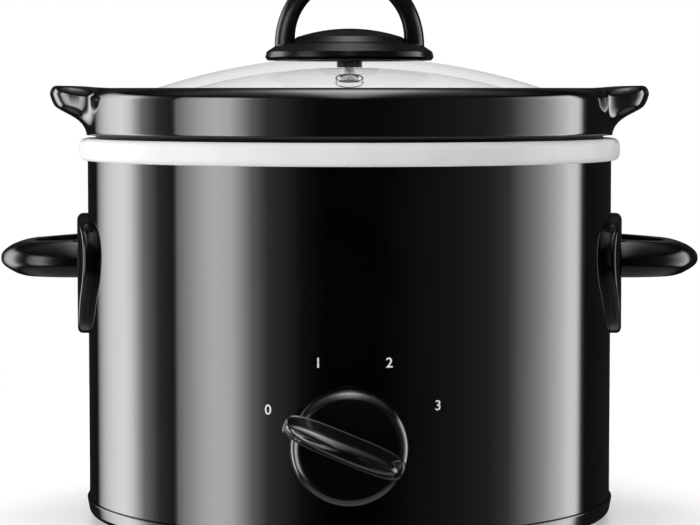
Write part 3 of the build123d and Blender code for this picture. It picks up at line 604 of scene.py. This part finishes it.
def padOutline():
    half = handle["outline"]
    corners = [Vector(spot) for spot in half] + [Vector((-x, z)) for x, z in reversed(half[1:-1])]
    count = len(corners)

    def at(share):
        index = int(share * count) % count
        t = share * count - int(share * count)
        a, b, c, d = (corners[(index + shift) % count] for shift in (-1, 0, 1, 2))
        squared = (a * 2 - b * 5 + c * 4 - d) * t**2 / 2
        cubed = (b * 3 - a - c * 3 + d) * t**3 / 2
        return b + (c - a) * t / 2 + squared + cubed

    return at


def makePad(side):
    outline = padOutline()
    middle = Vector((0, handle["padMiddle"]))
    rings, edge = handle["padRings"], handle["padEdge"]
    front = rings // 2
    flat = front - handle["rollRings"]

    def spotAt(ring, turn):
        rim = outline((turn / (2 * pi)) % 1)
        if ring <= front:
            # the flat face, then the rolled edge
            roll = min((front - ring) / handle["rollRings"], 1) * pi / 2
            reach = handle["pad"] - edge * (1 - sin(roll))
            inset = edge * (1 - cos(roll))
            share = min(ring / flat, 1.0)
            rim = rim - (rim - middle).normalized() * inset
        else:
            # the back, which lies on the shell
            reach = handle["shell"]
            share = min((rings - ring) / (rings - front - 1), 1.0)
        spot = middle.lerp(rim, share)
        angle = atan2(spot.x, handle["pad"])
        return Vector((side * reach * cos(angle), reach * sin(angle), spot.y))

    return mouldedShape("handle_pad", handle["padColumns"], rings, spotAt)


def loopPath(rings):
    radius = handle["tip"] - handle["centre"] - handle["thickness"] / 2
    legs = handle["legRings"]
    spots = []
    for ring in range(rings + 1):
        if ring < legs or ring > rings - legs:
            leg = min(ring, rings - ring) / legs
            flip = 1 if ring > rings - legs else -1
            reach = handle["legEnd"] + (handle["centre"] - handle["legEnd"]) * leg
            spots.append((Vector((reach, flip * radius)), Vector((0, flip))))
        else:
            turn = ((ring - legs) / (rings - 2 * legs) - 0.5) * pi
            outward = Vector((cos(turn), sin(turn)))
            spots.append((Vector((handle["centre"], 0)) + outward * radius, outward))
    return spots


def noseShare(x, run, fall):
    # height of the loop's outline at this distance, against its height at the pad
    start = handle["tip"] + handle["tipRoom"] - run
    level = 1 - fall * min(max((x - handle["centre"]) / (start - handle["centre"]), 0), 1)
    if x <= start:
        return level
    return level * max(1 - ((x - start) / run) ** 2, 0) ** handle["nosePower"]


def makeLoop(side):
    rings = handle["bendRings"] + 2 * handle["legRings"]
    path = loopPath(rings)
    half = handle["thickness"] / 2
    rise, depth = handle["top"] - handle["belly"], handle["belly"] - handle["bottom"]

    def spotAt(ring, turn):
        spot, outward = path[ring]
        if ring in (0, rings):
            return Vector((side * spot.x, spot.y, handle["belly"]))
        # the section is square inside, and bows out from crisp edges outside
        across = max(-1, min(1, handle["square"] * cos(turn)))
        full = max(-1, min(1, handle["square"] * sin(turn)))
        if cos(turn) > 0:
            across = min(1, handle["outerSquare"] * cos(turn)) * (1 - handle["bulge"] / half * full**2)
        place = spot + outward * half * across
        up = full > 0
        if up:
            nose = noseShare(place.x, handle["noseAbove"], handle["fall"] / rise)
        else:
            nose = noseShare(place.x, handle["noseBelow"], 0)
        # where the section and the nose's outline meet, the edge between them is softened
        bite, size = handle["noseBite"], abs(full)
        blend = size**bite + nose**bite - (size * nose) ** bite
        level = full * nose / max(blend, handle["leastBlend"]) ** (1 / bite)
        return Vector((side * place.x, place.y, handle["belly"] + (rise if up else depth) * level))

    return mouldedShape("handle_loop", handle["columns"], rings, spotAt)


def makeHandle(side, name):
    pad = makePad(side)
    loop = makeLoop(side)
    loop.visible_glossy = False
    for piece, label in ((pad, "_pad"), (loop, "_loop")):
        bpy.ops.object.select_all(action="DESELECT")
        piece.select_set(True)
        bpy.context.view_layer.objects.active = piece
        bpy.ops.object.shade_smooth_by_angle(angle=handle["smoothAngle"])
        piece.name = name + label
        cover(piece, finishes["handle_plastic"])
        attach(piece, "base")
    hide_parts(name)


makeHandle(1, "handle_right")
makeHandle(-1, "handle_left")
print("side handles moulded")


# Vent: the polished edge of the hole in the glass

vent = {
    "offset": 61.7,
    "middle": 165.4,
    "radius": 4.75,
    "wall": 0.3,
    "halfDepth": 1.15,
    "slope": radians(15.6),
    "columns": 72,
    "rows": 20,
}


def makeVentEdge():
    bpy.ops.object.select_all(action="DESELECT")
    bpy.ops.mesh.primitive_torus_add(major_segments=vent["columns"], minor_segments=vent["rows"],
                                     major_radius=vent["radius"] * mm, minor_radius=vent["wall"] * mm)
    ring = bpy.context.object
    ring.name = "vent_edge"
    for corner in ring.data.vertices:
        x, y, z = corner.co / mm
        up = z / vent["wall"] * vent["halfDepth"] + y * tan(vent["slope"])
        corner.co = Vector((x, y - vent["offset"], vent["middle"] + up)) * mm
    bpy.ops.object.shade_smooth()
    cover(ring, polishedEdge())
    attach(ring, "lid")


makeVentEdge()
print("vent edge polished")


# Numbers printed on the shell round the knob

dial = {
    "marks": {"0": (-28.3, 52.6), "1": (-10.7, 69.1), "2": (13.7, 69.1), "3": (30.9, 54.0)},
    "capHeight": 3.4 * mm,
    "capShare": 0.7,
    "boldness": 0.012,
    "ink": 0.05 * mm,
}


def dialInk():
    return mottled("dial_ink", (0.82, 0.82, 0.82), (0.9, 0.9, 0.9), (0.35, 0.45),
                   200, 3000, (0.05, 0.00002))


def printNumber(number, x, z, material):
    bpy.ops.object.select_all(action="DESELECT")
    bpy.ops.object.text_add()
    label = bpy.context.object
    label.name = "dial_number_" + number
    label.data.body = number
    label.data.align_x = "CENTER"
    label.data.align_y = "CENTER"
    label.data.size = dial["capHeight"] / dial["capShare"]
    label.data.offset = dial["boldness"] * dial["capHeight"] / dial["capShare"]
    label.data.extrude = dial["ink"]
    bpy.ops.object.convert(target="MESH")
    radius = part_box("outer_shell")[1].x
    for corner in label.data.vertices:
        angle = (x + corner.co.x) / radius
        reach = radius + max(corner.co.z, 0)
        corner.co = (reach * sin(angle), -reach * cos(angle), z + corner.co.y)
    cover(label, material)
    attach(label, "base")


ink = dialInk()
for number, (markX, markZ) in dial["marks"].items():
    printNumber(number, markX * mm, markZ * mm, ink)
print("dial numbers:", len(dial["marks"]))


# Studio: a pale floor, soft panels round the cooker and a white background for the camera

studio = {
    "floorRadius": 0.45,
    "floorColour": (0.82, 0.82, 0.82),
    "floorGlow": 0.3,
    "floorColumns": 96,
    "ambient": 0.15,
    "diffuseShare": 0.24,
    # azimuth from the camera, left negative, and the brightness of the soft panels there
    "panels": (
        (-180, 0.015), (-145, 0.02), (-115, 7.2), (-109, 6.9), (-100, 2.0), (-90, 0.4), (-80.5, 0.15),
        (-79, 2.4), (-64, 8.3), (-58, 9.4), (-52, 8.7), (-42, 2.3), (-35, 0.6), (-20, 0.08), (-10, 0),
        (12, 0), (45, 0.15), (62, 0.28), (72, 0.65), (90, 3.6), (100, 5.6), (110, 6.9), (116, 5.8),
        (121, 0.3), (124, 0.03), (180, 0.015),
    ),
    # share of that brightness at each elevation
    "panelRise": ((-34, 0), (-25, 1), (19, 1), (27, 0)),
    # soft box overhead, per unit of height above the cooker:
    # brightness from front to back, and share of it from the middle to the sides
    "overheadRun": (
        (-3.2, 0), (-2.5, 0.8), (-1.6, 1.9), (-0.7, 4.7), (0, 9), (0.35, 4), (0.6, 0.8), (0.9, 0.1), (1.2, 0),
    ),
    "overheadAcross": ((0, 1), (0.14, 0.8), (0.3, 0.3), (0.5, 0.1), (0.9, 0.05), (1.3, 0.02), (1.8, 0)),
    # what gloss sees of the lit floor, and of the white wall behind the cooker, at each elevation
    "floorShine": ((-50, 0.75), (-35, 0)),
    "wallShine": ((1, 0), (1.5, 0.05), (6, 0.05), (9, 0), (17, 0), (25, 0.06), (40, 0.06), (60, 0)),
    "wallSpan": ((-150, 1), (-135, 0), (135, 0), (150, 1)),
    # reach of each measure, the least height that the soft box's are divided by, and the height it is seen from
    "azimuthReach": 180,
    "elevationReach": 90,
    "runReach": 4,
    "acrossReach": 2,
    "lowest": 0.05,
    "overheadFrom": 0.06,
}
view = {
    "place": (0.0002, -0.9684, 0.16195),
    "tilt": radians(86.164),
    "sensor": 36,
    "lens": 131.9,
    "nearest": 0.01,
}


def makeFloor():
    bpy.ops.object.select_all(action="DESELECT")
    bpy.ops.mesh.primitive_circle_add(vertices=studio["floorColumns"], radius=studio["floorRadius"],
                                      fill_type="NGON")
    floor = bpy.context.object
    floor.name = "floor"
    floor.visible_glossy = False
    material, tree, shader = newMaterial("floor")
    shader.inputs["Base Color"].default_value = (*studio["floorColour"], 1)
    shader.inputs["Roughness"].default_value = 0.7
    path = addNode(tree, "ShaderNodeLightPath")
    glow = addNode(tree, "ShaderNodeMath", operation="MULTIPLY")
    glow.inputs[1].default_value = studio["floorGlow"]
    shader.inputs["Emission Color"].default_value = (1, 1, 1, 1)
    tree.links.new(path.outputs["Is Camera Ray"], glow.inputs[0])
    tree.links.new(glow.outputs[0], shader.inputs["Emission Strength"])
    cover(floor, material)


def mathOf(tree, operation, first, second):
    node = addNode(tree, "ShaderNodeMath", operation=operation)
    for socket, value in zip(node.inputs, (first, second)):
        if isinstance(value, (int, float)):
            socket.default_value = value
        else:
            tree.links.new(value, socket)
    return node.outputs[0]


def levelAt(tree, source, stops, reach):
    # brightness along a measure that runs from -reach to reach, given at a few stops
    peak = max(level for _, level in stops)
    ramp = addNode(tree, "ShaderNodeValToRGB")
    while len(ramp.color_ramp.elements) < len(stops):
        ramp.color_ramp.elements.new(0.5)
    for element, (place, level) in zip(ramp.color_ramp.elements, stops):
        element.position = (place / reach + 1) / 2
        element.color = (level / peak, level / peak, level / peak, 1)
    share = mathOf(tree, "ADD", mathOf(tree, "DIVIDE", source, 2 * reach), 0.5)
    tree.links.new(share, ramp.inputs["Fac"])
    return mathOf(tree, "MULTIPLY", ramp.outputs["Color"], peak)


def makeWorld():
    world = bpy.data.worlds.new("studio")
    world.use_nodes = True
    bpy.context.scene.world = world
    tree = world.node_tree
    back = tree.nodes["Background"]
    place = addNode(tree, "ShaderNodeTexCoord")
    split = addNode(tree, "ShaderNodeSeparateXYZ")
    tree.links.new(place.outputs["Generated"], split.inputs[0])
    x, y, z = split.outputs
    azimuth = mathOf(tree, "DEGREES", mathOf(tree, "ARCTAN2", x, mathOf(tree, "MULTIPLY", y, -1)), 0)
    elevation = mathOf(tree, "DEGREES", mathOf(tree, "ARCSINE", z, 0), 0)
    height = mathOf(tree, "MAXIMUM", z, studio["lowest"])
    run = mathOf(tree, "DIVIDE", y, height)
    across = mathOf(tree, "ABSOLUTE", mathOf(tree, "DIVIDE", x, height), 0)
    around, upward = studio["azimuthReach"], studio["elevationReach"]
    panels = mathOf(tree, "MULTIPLY", levelAt(tree, azimuth, studio["panels"], around),
                    levelAt(tree, elevation, studio["panelRise"], upward))
    overhead = mathOf(tree, "MULTIPLY", levelAt(tree, run, studio["overheadRun"], studio["runReach"]),
                      levelAt(tree, across, studio["overheadAcross"], studio["acrossReach"]))
    wall = mathOf(tree, "MULTIPLY", levelAt(tree, elevation, studio["wallShine"], upward),
                  levelAt(tree, azimuth, studio["wallSpan"], around))
    shine = mathOf(tree, "ADD", wall, levelAt(tree, elevation, studio["floorShine"], upward))
    path = addNode(tree, "ShaderNodeLightPath")
    diffuse = path.outputs["Is Diffuse Ray"]
    above = mathOf(tree, "GREATER_THAN", z, studio["overheadFrom"])
    lamps = mathOf(tree, "ADD", panels, mathOf(tree, "MULTIPLY", overhead, above))
    toGloss = mathOf(tree, "ADD", lamps, shine)
    dimmed = mathOf(tree, "MULTIPLY", lamps, studio["diffuseShare"])
    toDiffuse = mathOf(tree, "ADD", dimmed, studio["ambient"])
    white = mathOf(tree, "MAXIMUM", path.outputs["Is Camera Ray"], path.outputs["Is Transmission Ray"])
    light = toGloss
    for factor, level in ((diffuse, toDiffuse), (white, 1.0)):
        mix = addNode(tree, "ShaderNodeMix", data_type="FLOAT")
        tree.links.new(factor, mix.inputs["Factor"])
        tree.links.new(light, mix.inputs["A"])
        if isinstance(level, float):
            mix.inputs["B"].default_value = level
        else:
            tree.links.new(level, mix.inputs["B"])
        light = mix.outputs["Result"]
    back.inputs["Color"].default_value = (1, 1, 1, 1)
    tree.links.new(light, back.inputs["Strength"])


def makeCamera():
    bpy.ops.object.camera_add(location=view["place"], rotation=(view["tilt"], 0, 0))
    camera = bpy.context.object
    camera.data.sensor_width = view["sensor"]
    camera.data.lens = view["lens"]
    camera.data.clip_start = view["nearest"]
    bpy.context.scene.camera = camera


makeFloor()
makeWorld()
makeCamera()
bpy.context.scene.view_settings.view_transform = "Standard"
print("studio ready")
